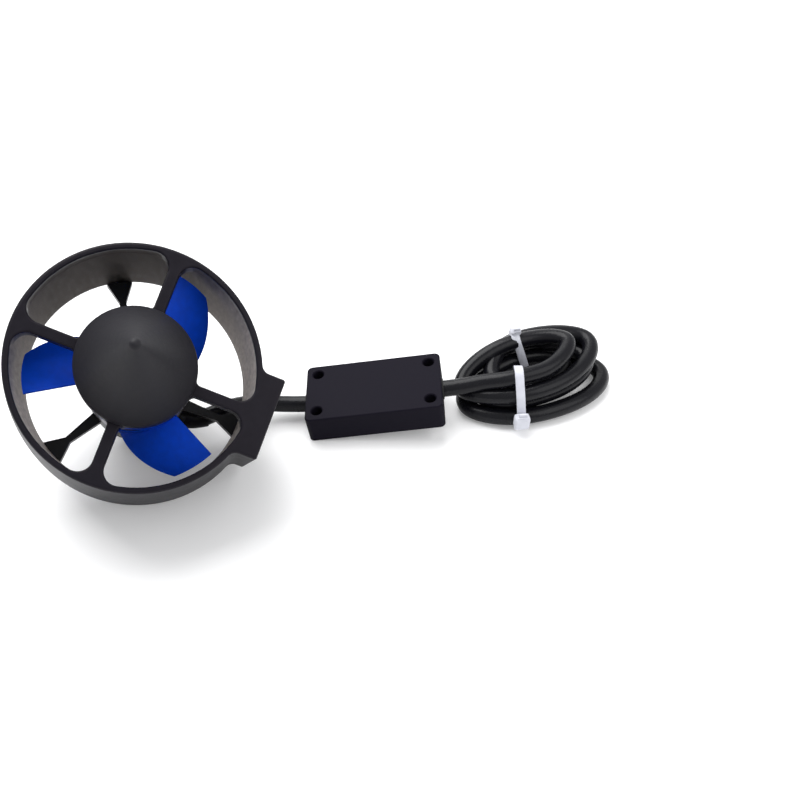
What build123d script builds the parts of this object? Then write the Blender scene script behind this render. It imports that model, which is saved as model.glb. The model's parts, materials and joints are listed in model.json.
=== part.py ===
from build123d import *
from math import atan2, cos, degrees, pi, radians, sin, tan
import os

# Underwater thruster with a four-spoke duct, a three-blade outrunner motor,
# a potted speed controller and its lead.
# Lengths are millimetres and angles are degrees. The thruster is drawn with its axis
# along Z, its rear rim at Z 0, its intake at the top and its mounting pad along +X.
# It is then laid on its rear rim and tail, as it rests on a table.

# Fits shared by all pieces
seat_gap = 0.05
face_gap = 0.1
running_gap = 0.05
screw_slack = 0.15
head_slack = 0.1
edge_round = 1.5

# Duct, spokes and pad
bore_radius = 47.4
lip_wall = 2.6
rim_wall = 6.1
duct_length = 53.5
lip_flare = 0.7
flare_depth = 6.0
belly = 0.7
lip_round = 1.2
spoke_count = 4
spoke_width = 4.7
spoke_depth = 6.5
spoke_root_round = 6.0
spoke_hub_round = 2.2
spoke_edge = 0.9
pad_rise = 3.5
pad_width = 35.0
pad_round = 4.0
pad_corner_round = 1.0
pad_bolt_pitch = 22.0
pad_bolt_radius = 1.65
pad_bolt_depth = 7.5

# Front hub and nose
hub_radius = 24.0
hub_rise = 1.2
hub_thickness = 5.0
boss_radius = 8.5
boss_height = 1.6
nose_length = 49.5
nose_skirt = 2.4
nose_blend = 9.0
nose_tip_round = 2.4
spigot_radius = 20.0
spigot_wall = 2.0
spigot_depth = 2.0
seal_section = 0.7
seal_radius = 21.6

# Shaft and bearings
shaft_radius = 2.5
bearing_radius = 5.5
bearing_width = 4.0
bearing_groove = 0.4
bearing_shield = 1.4
bearing_lip = 0.8
shaft_front_stub = 0.8
shaft_rear_stub = 3.0
clip_groove = 0.35
clip_width = 0.8
clip_radius = 4.2
clip_mouth = 2.2
spacer_radius = 3.5

# Outrunner motor
bell_radius = 22.6
bell_wall = 1.2
bell_plate = 2.5
bell_rear_gap = 0.5
bell_boss_radius = 5.5
bell_boss_depth = 1.5
bell_vent_radius = 3.2
bell_vent_circle = 13.5
bell_vent_count = 6
magnet_count = 14
magnet_thickness = 1.5
magnet_overhang = 1.0
magnet_cover = 0.84
air_gap = 0.5
slot_count = 12
stator_room = 14.0
stator_shift = 1.0
stator_back = 12.6
tooth_width = 3.6
tooth_tip_depth = 1.3
tooth_cover = 0.84
coil_side = 1.5
coil_end = 1.8
coil_reach = 0.6
coil_corner = 1.0
coil_wedge = 14.6

# Propeller
blade_count = 3
tip_gap = 2.6
ring_wall = 0.9
ring_length = 8.0
ring_gap = 0.7
ring_plate = 3.0
blade_setback = 2.5
blade_pitch = 133.0
lead_angle = 0.0
tip_span = 22.0
root_span = 59.0
root_thickness = 3.4
tip_thickness = 1.7
blade_edge = 0.8
blade_camber = 0.9
blade_stations = 3
root_pad_thickness = 7.0
root_pad_overhang = 2.6
root_pad_step = 0.15
blade_turn = 93.0
ring_screw_count = 3
ring_screw_circle = 8.6
ring_screw_radius = 0.95
ring_screw_head = 1.85
ring_screw_head_height = 1.15
ring_screw_key = 0.85
ring_flange_radius = 6.5

# Rear frame and tail
frame_thickness = 6.0
frame_front = 10.0
frame_pocket_radius = 19.6
frame_pocket_depth = 9.0
tube_radius = 9.0
tube_setback = 6.0
strut_count = 3
strut_hub_width = 5.4
strut_neck_width = 2.9
strut_neck_radius = 38.4
strut_root_width = 11.3
strut_root_round = 1.5
strut_root_edge = 0.8
frame_screw_radius = 1.5
frame_screw_head = 2.75
frame_screw_head_height = 1.9
frame_screw_key = 1.25
frame_screw_bite = 8.0
tail_reach = 30.0
tail_radius = 21.0
tail_taper = 9.0
tail_foot = 2.0
tail_wall = 2.4
tail_end = 3.0
tail_screw_count = 3
tail_screw_circle = 15.6
tail_screw_radius = 1.25
tail_screw_head = 2.3
tail_screw_head_height = 1.6
tail_screw_key = 1.1
tail_screw_sink = 0.4
tail_screw_start = 60.0
tail_post_radius = 3.2
tail_seal_section = 0.6
tail_seal_radius = 21.4
outlet_angle = -12.0
outlet_depth = 12.5
outlet_radius = 6.2
outlet_reach = 25.5
outlet_round = 0.6
boot_root_radius = 5.4
boot_mouth_radius = 4.9
boot_bend = 7.5
boot_plug_radius = 4.5
boot_plug_length = 8.0
boot_first_run = 4.0
boot_last_run = 4.9
phase_wire_radius = 1.1
phase_wire_circle = 13.6
phase_wire_count = 3
phase_wire_gap = 6.0

# Speed controller
case_length = 65.3
case_width = 36.8
case_height = 13.9
case_wall = 2.4
case_roof = 2.2
case_corner = 2.6
case_edge = 0.7
case_hole_radius = 2.7
case_hole_inset_x = 5.65
case_hole_inset_y = 6.05
case_hole_chamfer = 0.45
case_post_radius = 4.6
cover_thickness = 1.6
board_end_gap = 9.65
board_side_gap = 4.9
board_thickness = 1.6
board_height = 4.6
fet_size = (5.2, 6.0, 1.0)
fet_pitch = 6.6
fet_columns = 6
fet_row = 8.6
capacitor_radius = 2.5
capacitor_length = 9.0
capacitor_spread = 13.5
controller_size = (9.0, 9.0, 1.2)
grommet_radius = 5.2
grommet_proud = 0.6

# Leads and coil
lead_radius = 4.0
coil_height = 29.5
coil_round = 3.0
coil_bottom_centre = (141.0, 47.5)
coil_bottom_turn = 21.0
coil_bottom_outer = (43.5, 26.0)
coil_bottom_hole = (27.5, 10.0)
coil_top_centre = (135.0, 52.0)
coil_top_turn = 26.0
coil_top_outer = (34.5, 19.5)
coil_top_hole = (23.0, 8.5)
tie_width = 4.2
tie_thickness = 1.1
tie_round = 3.0
tie_head = (7.4, 5.0, 6.4)
tie_head_round = 0.8
near_tie_place = 131.6
far_tie_place = 134.5
near_head_place = (19.8, 4.6)
far_head_place = (64.0, 30.0)
wire_radius = 1.3
wire_length = 12.0
wire_count = 3

# Resting pose: heading of the lean, roll of the pad, and where each piece stands
lean_heading = 20.6
pad_roll = -35.6
rim_centre = (-44.6, 14.55)
case_heading = -0.5
case_rise = 8.7
case_bank = 3.0

# Route of the lead from the tail to the controller, chosen by hand
motor_route = [
    (-15.05, 18.75, 9.3),
    (-9.05, 23.45, 7.4),
    (0.95, 29.95, 4.7),
    (19.84, 33.87, 6.1),
    (29.72, 33.78, 7.61),
]

# Route of the lead from the controller to the coil, chosen by hand
supply_route = [
    (95.47, 33.21, 17.67),
    (104.37, 33.13, 19.03),
    (114.25, 34.25, 20.9),
    (122.25, 36.95, 22.3),
]

# The free end of the lead inside the coil, chosen by hand
tail_route = [
    (128.3, 24.9, 4.2),
    (135.6, 30.6, 4.2),
    (142.2, 37.0, 4.2),
    (147.8, 44.3, 4.2),
]


def disc(radius, low, high):
    """Round bar on the axis between two heights."""
    return Pos(0, 0, low) * extrude(Circle(radius), high - low)


def collar(inner, outer, low, high):
    """Round ring on the axis between two heights."""
    return disc(outer, low, high) - disc(inner, low - 1, high + 1)


def around(shape, count, start=0.0):
    """Copies of a shape at equal turns about the axis."""
    return [Rot(0, 0, start + 360 / count * i) * shape for i in range(count)]


def fused(shapes):
    """One shape from several that touch."""
    whole = shapes[0]
    for shape in shapes[1:]:
        whole = whole + shape
    return whole


def grouped(shapes):
    """Separate solids kept together as one node."""
    return Compound([solid for shape in shapes for solid in shape.solids()])


def wedge(half_angle, reach):
    """Plan of a sector about the axis, as a triangle that reaches past what it trims."""
    x = reach * cos(radians(half_angle))
    y = reach * sin(radians(half_angle))
    return make_face(Polyline((0, 0), (x, -y), (x, y), close=True))


def ring_seal(ring, section, height):
    """O-ring on the axis, with eight flats round its section."""
    flats = Plane.XZ * (Pos(ring, height) * RegularPolygon(section, 8, major_radius=False, rotation=22.5))
    return revolve(flats, Axis.Z)


# Radii and heights that several pieces share
lip_radius = bore_radius + lip_wall
rim_radius = bore_radius + rim_wall
pad_face = rim_radius + pad_rise
tip_radius = bore_radius - tip_gap
ring_radius = bell_radius + ring_wall
hub_front = duct_length + hub_rise
hub_rear = hub_front - hub_thickness
ring_front = hub_rear - ring_gap
ring_rear = ring_front - ring_length
bell_front = ring_front - ring_plate
blade_front = ring_rear - blade_setback
tube_front = bell_front - tube_setback
stator_length = bell_front - frame_front - stator_room
magnet_length = stator_length + 2 * magnet_overhang
bearing_front = hub_front + boss_height
front_bearing_low = bearing_front - bearing_width
frame_rear = -frame_thickness
middle_bearing_low = tube_front - bearing_width
rear_bearing_low = frame_rear + frame_pocket_depth
stator_middle = (frame_front + bell_front) / 2 - stator_shift
stator_radius = bell_radius - bell_wall - magnet_thickness - air_gap
shaft_top = bearing_front + shaft_front_stub
shaft_low = rear_bearing_low - shaft_rear_stub


def duct_ring():
    """Nozzle ring: thin flared lip in front, thick rim behind."""
    with BuildLine() as outline:
        Polyline((bore_radius, 0), (bore_radius, duct_length - flare_depth))
        Line((bore_radius, duct_length - flare_depth), (bore_radius + lip_flare, duct_length))
        Line((bore_radius + lip_flare, duct_length), (lip_radius, duct_length))
        middle = ((lip_radius + rim_radius) / 2 + belly, duct_length / 2)
        ThreePointArc((lip_radius, duct_length), middle, (rim_radius, 0))
        Line((rim_radius, 0), (bore_radius, 0))
    return revolve(make_face(Plane.XZ * outline.line), Axis.Z)


def end_edges(shape, height):
    """Outer outline of the duct and its pad at one end."""
    return [
        e for e in shape.edges()
        if abs(e.center().Z - height) < 0.01 and e.bounding_box().size.Z < 0.01
        and max((v.X**2 + v.Y**2) ** 0.5 for v in e.vertices()) > lip_radius - 0.1
    ]


def spider_outline():
    """Plan of the hub, the spokes and the inside of the lip, with filleted roots."""
    rim = Circle(lip_radius - lip_round) - Circle(bore_radius + seat_gap)
    bar = Pos((lip_radius + hub_radius) / 2, 0) * Rectangle(lip_radius - hub_radius + 3, spoke_width)
    plan = Circle(hub_radius) + [Rot(0, 0, 360 / spoke_count * i) * bar for i in range(spoke_count)]
    plan = (plan & Circle(lip_radius - lip_round)) + rim
    roots = [v for v in plan.vertices() if abs((v.X**2 + v.Y**2) ** 0.5 - bore_radius) < 0.5]
    plan = fillet(roots, spoke_root_round)
    necks = [v for v in plan.vertices() if abs((v.X**2 + v.Y**2) ** 0.5 - hub_radius) < 0.1]
    return fillet(necks, spoke_hub_round)


def mounting_pad():
    """Flat pad along the duct's side."""
    depth = pad_face - bore_radius - 1.0
    block = Pos(pad_face - depth / 2, 0, 0) * extrude(Rectangle(depth, pad_width), duct_length)
    outer = block.edges().filter_by(Axis.Z).group_by(Axis.X)[-1]
    return fillet(outer, pad_corner_round)


def pad_bolt_places():
    """Centres of the pad's bolt holes."""
    half = pad_bolt_pitch / 2
    return [(y, duct_length / 2 + z) for y in (-half, half) for z in (-half, half)]


def duct_body():
    """Ring, spokes, hub plate, front bearing boss and pad, cast as one piece."""
    spider = Pos(0, 0, duct_length - spoke_depth) * extrude(spider_outline(), spoke_depth)
    front_edges = [
        e for e in spider.edges()
        if abs(e.center().Z - duct_length) < 0.01 and e.bounding_box().size.Z < 0.01
        and (e.center().X**2 + e.center().Y**2) ** 0.5 < bore_radius - 4
    ]
    spider = fillet(front_edges, spoke_edge)
    spider = spider + disc(hub_radius, duct_length - 1, hub_front)
    body = duct_ring() + mounting_pad()
    roots = [
        e for e in body.edges()
        if abs(abs(e.center().Y) - pad_width / 2) < 0.1
        and e.center().X < pad_face - 3
        and e.bounding_box().size.Z > duct_length / 2
    ]
    body = fillet(roots, pad_round)
    body = fillet(end_edges(body, duct_length), lip_round)
    body = fillet(end_edges(body, 0), edge_round)
    body = body + spider
    body = body - disc(hub_radius, duct_length - spoke_depth - 1, hub_rear)
    body = body + disc(boss_radius, hub_front - 1, bearing_front)
    body = body - collar(
        spigot_radius - spigot_wall - face_gap,
        spigot_radius + face_gap,
        hub_front - spigot_depth - face_gap,
        hub_front + 1,
    )
    body = body - collar(
        seal_radius - seal_section - seat_gap,
        seal_radius + seal_section + seat_gap,
        hub_front + face_gap - 2 * seal_section - seat_gap,
        hub_front + 1,
    )
    body = body - disc(bearing_radius + seat_gap, front_bearing_low, bearing_front + 1)
    body = body - disc(bearing_radius - bearing_lip, hub_rear - 1, bearing_front + 1)
    for y, z in pad_bolt_places():
        hole = Plane((pad_face, y, z), x_dir=(0, 1, 0), z_dir=(1, 0, 0))
        body = body - hole * extrude(Circle(pad_bolt_radius), -pad_bolt_depth)
    for screw in around(Pos(frame_screw_circle(), 0, 0), strut_count):
        body = body - screw * disc(frame_screw_radius + seat_gap, -1, frame_screw_bite + 0.5)
    return body


def frame_screw_circle():
    """Radius at which the rear frame is screwed to the rim."""
    return (bore_radius + rim_radius) / 2


def nose_outline(radius, bottom, shoulder, apex, shoulder_round, tip_round):
    """Half section of a cone on a short skirt, with its shoulder and tip rounded."""
    whole = make_face(Polyline(
        (-radius, bottom), (radius, bottom), (radius, shoulder), (0, apex), (-radius, shoulder), close=True))
    whole = fillet([v for v in whole.vertices() if v.Y > apex - 1], tip_round)
    whole = fillet([v for v in whole.vertices() if abs(v.Y - shoulder) < 0.01], shoulder_round)
    return whole & Pos(radius, (bottom + apex) / 2) * Rectangle(2 * radius, 2 * apex)


def nose_cone():
    """Hollow pointed fairing that sits on the front hub by its spigot."""
    base = hub_front + face_gap
    shoulder = base + nose_skirt
    rise = nose_length - nose_skirt
    half_angle = atan2(hub_radius, rise)
    apex = base + nose_length + nose_tip_round * (1 / sin(half_angle) - 1)
    outer = Plane.XZ * nose_outline(hub_radius, base, shoulder, apex, nose_blend, nose_tip_round)
    slope = (apex - shoulder) / hub_radius
    inner_radius = spigot_radius - spigot_wall
    hollow = Plane.XZ * nose_outline(
        inner_radius, base - spigot_depth - 1, shoulder, shoulder + slope * inner_radius,
        nose_blend, nose_tip_round)
    body = revolve(outer, Axis.Z) + collar(inner_radius, spigot_radius, hub_front - spigot_depth, base + 1)
    return body - revolve(hollow, Axis.Z)


def nose_seal():
    """O-ring under the skirt of the nose."""
    return ring_seal(seal_radius, seal_section, hub_front + face_gap - seal_section)


def bearing(low):
    """Shielded ball bearing with a groove on each face."""
    ring = collar(shaft_radius + running_gap, bearing_radius, low, low + bearing_width)
    middle = (shaft_radius + bearing_radius) / 2
    for start in (low - 1 + bearing_groove, low + bearing_width - bearing_groove):
        ring = ring - collar(middle - bearing_shield / 2, middle + bearing_shield / 2, start, start + 1)
    return ring


def shaft():
    """Motor shaft with a groove for its clip."""
    bar = disc(shaft_radius, shaft_low, shaft_top)
    ends = [e for e in bar.edges().filter_by(GeomType.CIRCLE)]
    bar = chamfer(ends, 0.4)
    return bar - collar(shaft_radius - clip_groove, shaft_radius + 1, clip_low(), clip_low() + clip_width)


def clip_low():
    """Height of the clip just behind the rear bearing."""
    return rear_bearing_low - face_gap - clip_width


def shaft_clip():
    """Retaining clip, open on one side."""
    inner = shaft_radius - clip_groove + seat_gap
    ring = collar(inner, clip_radius, clip_low() + seat_gap, clip_low() + clip_width - seat_gap)
    mouth = Pos(clip_radius, 0, clip_low() + clip_width / 2) * Box(clip_radius * 2, clip_mouth, 2)
    return ring - mouth


def front_spacer():
    """Sleeve between the bell and the front bearing's inner race."""
    low = ring_front + face_gap
    return collar(shaft_radius + seat_gap, spacer_radius, low, front_bearing_low - face_gap)


def rotor_bell():
    """Steel cup that carries the magnets, the shaft and the propeller."""
    rear = frame_front + bell_rear_gap
    plate_rear = bell_front - bell_plate
    cup = disc(bell_radius, rear, bell_front) - disc(bell_radius - bell_wall, rear - 1, plate_rear)
    cup = cup + disc(bell_boss_radius, plate_rear - bell_boss_depth, ring_front)
    vent = Pos(bell_vent_circle, 0, 0) * disc(bell_vent_radius, plate_rear - 1, bell_front + 1)
    for hole in around(vent, bell_vent_count, 30):
        cup = cup - hole
    for hole in around(Pos(ring_screw_circle, 0, 0), ring_screw_count):
        cup = cup - hole * disc(ring_screw_radius + seat_gap, plate_rear - 1, bell_front + 1)
    return cup - disc(shaft_radius + seat_gap, 0, ring_front + 1)


def magnets():
    """Arc magnets on the inside of the bell."""
    outer = bell_radius - bell_wall - seat_gap
    inner = outer - magnet_thickness + seat_gap
    half = 180 / magnet_count * magnet_cover
    low = stator_middle - magnet_length / 2
    piece = collar(inner, outer, low, low + magnet_length)
    piece = piece & Pos(0, 0, low) * extrude(wedge(half, 2 * outer), magnet_length)
    return grouped(around(piece, magnet_count))


def stator_outline():
    """Plan of the laminations: a back ring with T-shaped teeth."""
    teeth = []
    half = 180 / slot_count * tooth_cover
    for i in range(slot_count):
        length = stator_radius - stator_back
        stem = Pos(stator_back + length / 2, 0) * Rectangle(length + 1, tooth_width)
        tip = Circle(stator_radius) - Circle(stator_radius - tooth_tip_depth)
        tip = tip & wedge(half, 2 * stator_radius)
        stem = stem & Circle(stator_radius)
        teeth.append(Rot(0, 0, 360 / slot_count * i) * (stem + tip))
    return (Circle(stator_back) - Circle(tube_radius + seat_gap)) + teeth


def windings_low():
    """Height of the windings' rear face."""
    return stator_middle - stator_length / 2 - face_gap - coil_end


def stator_core():
    """Laminated core pressed onto the bearing tube."""
    return Pos(0, 0, stator_middle - stator_length / 2) * extrude(stator_outline(), stator_length)


def stator_windings():
    """One coil round each tooth."""
    low = stator_back + coil_reach
    high = stator_radius - tooth_tip_depth - face_gap - 0.3
    gap = face_gap
    outer = Box(high - low, tooth_width + 2 * (gap + coil_side), stator_length + 2 * (gap + coil_end))
    long_edges = outer.edges().filter_by(Axis.X)
    outer = fillet(long_edges, coil_corner)
    inner = Box(high - low + 2, tooth_width + 2 * gap, stator_length + 2 * gap)
    coil = Pos((low + high) / 2, 0, stator_middle) * (outer - inner)
    sector = wedge(coil_wedge, 2 * stator_radius)
    taper = Pos(0, 0, stator_middle) * extrude(sector, stator_length, both=True)
    return grouped(around(coil & taper, slot_count))


def blade_section(edge_radius, thickness, edge, overhang=0.0):
    """Cross-section of a blade whose two edges lie at one radius."""
    fall = (root_span - tip_span) / (tip_radius - ring_radius)
    span = root_span - fall * (edge_radius - ring_radius)
    middle = lead_angle - span / 2
    reach = edge_radius * cos(radians(span / 2))
    half_chord = reach * tan(radians(span / 2))
    drop = blade_pitch * span / 360
    lead = Vector(half_chord, blade_front)
    trail = Vector(-half_chord, blade_front - drop)
    along = (lead - trail).normalized()
    across = Vector(-along.Y, along.X)
    lead = lead + along * overhang
    trail = trail - along * overhang
    centre = (lead + trail) / 2 + across * blade_camber
    with BuildLine() as outline:
        ThreePointArc(lead + across * edge / 2, centre + across * thickness / 2, trail + across * edge / 2)
        Line(trail + across * edge / 2, trail - across * edge / 2)
        ThreePointArc(trail - across * edge / 2, centre - across * thickness / 2, lead - across * edge / 2)
        Line(lead - across * edge / 2, lead + across * edge / 2)
    turn = radians(middle)
    plane = Plane(
        (reach * cos(turn), reach * sin(turn), 0),
        x_dir=(-sin(turn), cos(turn), 0),
        z_dir=(cos(turn), sin(turn), 0),
    )
    return plane * make_face(outline.line)


def blade():
    """One blade, trimmed to the tip circle, with its root inside the ring."""
    step = (tip_radius - ring_radius) / (blade_stations + 1)
    between = [ring_radius + step * (i + 1) for i in range(blade_stations)]
    stations = [ring_radius - 1.5, *between, tip_radius + 2.5]
    sections = []
    for radius in stations:
        share = (radius - ring_radius) / (tip_radius - ring_radius)
        thickness = root_thickness + (tip_thickness - root_thickness) * share
        sections.append(blade_section(radius, thickness, blade_edge))
    return loft(sections) & disc(tip_radius, 0, duct_length)


def root_pad():
    """Thin foot that joins a blade to the ring along the bell."""
    sections = [
        blade_section(r, root_pad_thickness, root_pad_thickness * 0.8, root_pad_overhang)
        for r in (ring_radius - 2.5, ring_radius + 2.5)
    ]
    return loft(sections) & disc(ring_radius - root_pad_step, frame_front, ring_front - root_pad_step)


def propeller():
    """Three-blade propeller: a ring over the front of the bell, with blades on feet."""
    body = disc(ring_radius, ring_rear, ring_front)
    for turned in around(root_pad(), blade_count, blade_turn):
        body = body + turned
    for turned in around(blade(), blade_count, blade_turn):
        body = body + turned
    body = body - disc(bell_radius + seat_gap, 0, bell_front + face_gap)
    body = body - disc(ring_flange_radius, bell_front, ring_front + 1)
    for hole in around(Pos(ring_screw_circle, 0, 0), ring_screw_count):
        body = body - hole * disc(ring_screw_radius + screw_slack, bell_front - 1, ring_front + 1)
        recess = ring_front - ring_screw_head_height - screw_slack
        body = body - hole * disc(ring_screw_head + head_slack, recess, ring_front + 1)
    return body


def propeller_screws():
    """Screws that hold the propeller's plate on the bell."""
    head_top = ring_front - face_gap
    head_low = head_top - ring_screw_head_height
    head = disc(ring_screw_head, head_low, head_top)
    head = head - disc(ring_screw_key, head_low + ring_screw_head_height / 2, head_top + 1)
    stem = disc(ring_screw_radius, bell_front - bell_plate + face_gap, head_low)
    screw = Pos(ring_screw_circle, 0, 0) * (head + stem)
    return grouped(around(screw, ring_screw_count))


def strut_outline():
    """Plan of one rear strut: narrow neck and a spread root on the rim."""
    edge = rim_radius - strut_root_edge
    points = [
        (frame_pocket_radius + 1, strut_hub_width / 2),
        (strut_neck_radius, strut_neck_width / 2),
        (bore_radius, strut_root_width / 2),
        (edge, strut_root_width / 2),
    ]
    mirrored = [(x, -y) for x, y in reversed(points)]
    plan = make_face(Polyline(*points, *mirrored, close=True))
    corners = [v for v in plan.vertices() if v.X > edge - 0.1]
    plan = fillet(corners, strut_root_round)
    return plan & Circle(edge)


def rear_frame():
    """Three struts, the motor base and the bearing tube in one piece."""
    body = disc(bell_radius, frame_rear, frame_front) + disc(tube_radius, 0, tube_front)
    strut = Pos(0, 0, frame_rear) * extrude(strut_outline(), frame_thickness - face_gap)
    for turned in around(strut, strut_count):
        body = body + turned
    body = body - disc(frame_pocket_radius, frame_rear - 1, frame_rear + frame_pocket_depth)
    body = body + (disc(bearing_radius + 2.2, frame_rear + 2, frame_rear + frame_pocket_depth + 0.5))
    body = body - disc(shaft_radius + 1.2, frame_rear - 1, tube_front + 1)
    body = body - disc(bearing_radius + seat_gap, frame_rear - 1, rear_bearing_low + bearing_width)
    body = body - disc(bearing_radius + seat_gap, middle_bearing_low, tube_front + 1)
    pocket_floor = frame_rear + frame_pocket_depth
    for post in around(Pos(tail_screw_circle, 0, 0), tail_screw_count, tail_screw_start):
        body = body + post * disc(tail_post_radius, frame_rear, pocket_floor + 0.5)
        body = body - post * disc(tail_screw_radius + seat_gap, frame_rear - 1, pocket_floor)
    for hole in around(Pos(frame_screw_circle(), 0, 0), strut_count):
        body = body - hole * disc(frame_screw_radius + screw_slack, frame_rear - 1, 1)
    for hole in around(Pos(phase_wire_circle, 0, 0), phase_wire_count):
        body = body - hole * disc(phase_wire_radius + 0.3, frame_rear, frame_front + 1)
    return body


def frame_screws():
    """Screws through the strut roots into the rim."""
    head_low = frame_rear - face_gap - frame_screw_head_height
    head = disc(frame_screw_head, head_low, frame_rear - face_gap)
    head = chamfer(head.edges().group_by(Axis.Z)[0], 0.5)
    head = head - Pos(0, 0, head_low) * extrude(RegularPolygon(frame_screw_key, 6), frame_screw_key)
    stem = disc(frame_screw_radius, frame_rear - face_gap, frame_screw_bite)
    screw = Pos(frame_screw_circle(), 0, 0) * (head + stem)
    return grouped(around(screw, strut_count))


def tail_direction():
    """Unit vector from the axis to the cable outlet."""
    return Vector(cos(radians(outlet_angle)), sin(radians(outlet_angle)), 0)


def outlet_plane(reach):
    """Plane across the cable outlet at a distance from the axis."""
    way = tail_direction()
    return Plane(way * reach + Vector(0, 0, -outlet_depth), x_dir=(0, 0, 1), z_dir=way)


def tail_cap():
    """Cup behind the motor that holds the cable outlet; the thruster rests on its end."""
    top = frame_rear - face_gap
    with BuildLine() as outline:
        Polyline(
            (0, top), (bell_radius, top), (bell_radius, -tail_reach + tail_taper),
            (tail_radius, -tail_reach + tail_foot), (tail_radius, -tail_reach), (0, -tail_reach), (0, top),
        )
    cup = revolve(make_face(Plane.XZ * outline.line), Axis.Z)
    edge = cup.edges().filter_by(GeomType.CIRCLE).group_by(Axis.Z)[0]
    cup = fillet(edge, edge_round)
    cup = cup + outlet_plane(outlet_reach) * extrude(Circle(outlet_radius), -(outlet_reach - 16))
    lip = [
        e for e in cup.edges().filter_by(GeomType.CIRCLE)
        if abs(e.radius - outlet_radius) < 0.01 and e.center().X > outlet_reach - 2
    ]
    cup = fillet(lip, outlet_round)
    hollow = disc(bell_radius - tail_wall, -tail_reach + tail_end, top + 1)
    cup = cup - hollow
    bore = Circle(boot_plug_radius + seat_gap)
    cup = cup - outlet_plane(outlet_reach + 1) * extrude(bore, -(outlet_reach - 10))
    cup = cup - collar(
        tail_seal_radius - tail_seal_section - seat_gap,
        tail_seal_radius + tail_seal_section + seat_gap,
        frame_rear - 2 * tail_seal_section - seat_gap,
        top + 1,
    )
    for post in around(Pos(tail_screw_circle, 0, 0), tail_screw_count, tail_screw_start):
        cup = cup + post * disc(tail_post_radius, -tail_reach + tail_end - 0.5, top)
        cup = cup - post * disc(tail_screw_radius + screw_slack, -tail_reach - 1, top + 1)
        recess = -tail_reach + tail_screw_sink + tail_screw_head_height + face_gap
        cup = cup - post * disc(tail_screw_head + 2 * head_slack, -tail_reach - 1, recess)
    return cup


def tail_seal():
    """O-ring between the tail cap and the frame."""
    return ring_seal(tail_seal_radius, tail_seal_section, frame_rear - tail_seal_section)


def tail_screws():
    """Long screws from the tail's end into the frame."""
    low = -tail_reach + tail_screw_sink
    head = disc(tail_screw_head, low, low + tail_screw_head_height)
    head = head - Pos(0, 0, low) * extrude(RegularPolygon(tail_screw_key, 6), tail_screw_key)
    stem = disc(tail_screw_radius, low + tail_screw_key, frame_rear + frame_pocket_depth - 1.5)
    screw = Pos(tail_screw_circle, 0, 0) * (head + stem)
    return grouped(around(screw, tail_screw_count, tail_screw_start))


def tilt():
    """Lean from vertical, set by the rim and the tail end that touch the table."""
    return degrees(atan2(tail_reach, rim_radius - tail_radius))


def thruster_pose():
    """Where the drawn thruster lies on the table."""
    down = radians(tilt())
    height = edge_round + (rim_radius - edge_round) * sin(down) - edge_round * cos(down)
    place = Pos(rim_centre[0], rim_centre[1], height)
    return place * Rot(0, 0, lean_heading) * Rot(tilt(), 0, 0) * Rot(0, 0, pad_roll)


def route_wire(points):
    """Straight runs joined by arcs as large as the runs allow, and the arc radii."""
    places = [Vector(*p) for p in points]
    radii = []
    for before, corner, after in zip(places, places[1:], places[2:]):
        turn = radians((corner - before).get_angle(after - corner))
        run = min((corner - before).length, (after - corner).length)
        radii.append(0.45 * run / tan(turn / 2))
    return FilletPolyline(*places, radius=radii), radii


def lead_tube(points, radius):
    """Round lead along a route."""
    wire, radii = route_wire(points)
    start = Vector(*points[0])
    way = Vector(*points[1]) - start
    tube = sweep(Plane(start, z_dir=way) * Circle(radius), path=wire)
    print("lead radii", [round(r, 1) for r in radii], "length", round(wire.length, 1),
          "volume share", round(tube.volume / (pi * radius**2 * wire.length), 4))
    return tube


def cable_boot():
    """Moulded elbow from the tail's outlet to the lead, tapering towards the lead."""
    pose = thruster_pose()
    seat = pose * outlet_plane(outlet_reach).location
    root = seat.position
    way = Plane(seat).z_dir
    mouth = Vector(*motor_route[0])
    lead_way = (Vector(*motor_route[1]) - mouth).normalized()
    path = FilletPolyline(
        root, root + way * boot_first_run, mouth - lead_way * boot_last_run, mouth, radius=boot_bend)
    thick_end = Plane(root, z_dir=way) * Circle(boot_root_radius)
    thin_end = Plane(mouth, z_dir=lead_way) * Circle(boot_mouth_radius)
    bend = sweep([thick_end, thin_end], path=path, multisection=True)
    plug = Plane(root, z_dir=way) * extrude(Circle(boot_plug_radius), -boot_plug_length)
    return bend + plug


def phase_wires():
    """Three motor wires from the windings through the frame into the tail."""
    wires = []
    wire_low = -tail_reach + tail_end + phase_wire_gap
    for place in around(Pos(phase_wire_circle, 0, 0), phase_wire_count):
        wires.append(place * disc(phase_wire_radius, wire_low, windings_low() - face_gap))
    return grouped(wires)


def case_blank(length, width, height, corner):
    """Block with rounded upright edges standing on Z 0."""
    plan = RectangleRounded(length, width, corner)
    return extrude(plan, height)


def hole_places():
    """Centres of the controller's four screw holes."""
    x = case_length / 2 - case_hole_inset_x
    y = case_width / 2 - case_hole_inset_y
    return [(sx * x, sy * y) for sx in (-1, 1) for sy in (-1, 1)]


def case_cavity(gap, low, high):
    """Inside space of the case, less the corner posts."""
    length = case_length - 2 * (case_wall + gap)
    width = case_width - 2 * (case_wall + gap)
    space = Pos(0, 0, low) * extrude(RectangleRounded(length, width, 1.0), high - low)
    for x, y in hole_places():
        sx = 1 if x > 0 else -1
        sy = 1 if y > 0 else -1
        post = Pos(x, y, 0) * disc(case_post_radius + gap, low - 1, high + 1)
        far = Pos(x + sx * 4, y + sy * 4, (low + high) / 2) * Box(
            8 + 2 * (case_post_radius + gap), 8, high - low + 2)
        side = Pos(x + sx * 4, y + sy * 4, (low + high) / 2) * Box(
            8, 8 + 2 * (case_post_radius + gap), high - low + 2)
        space = space - post - far - side
    return space


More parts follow.
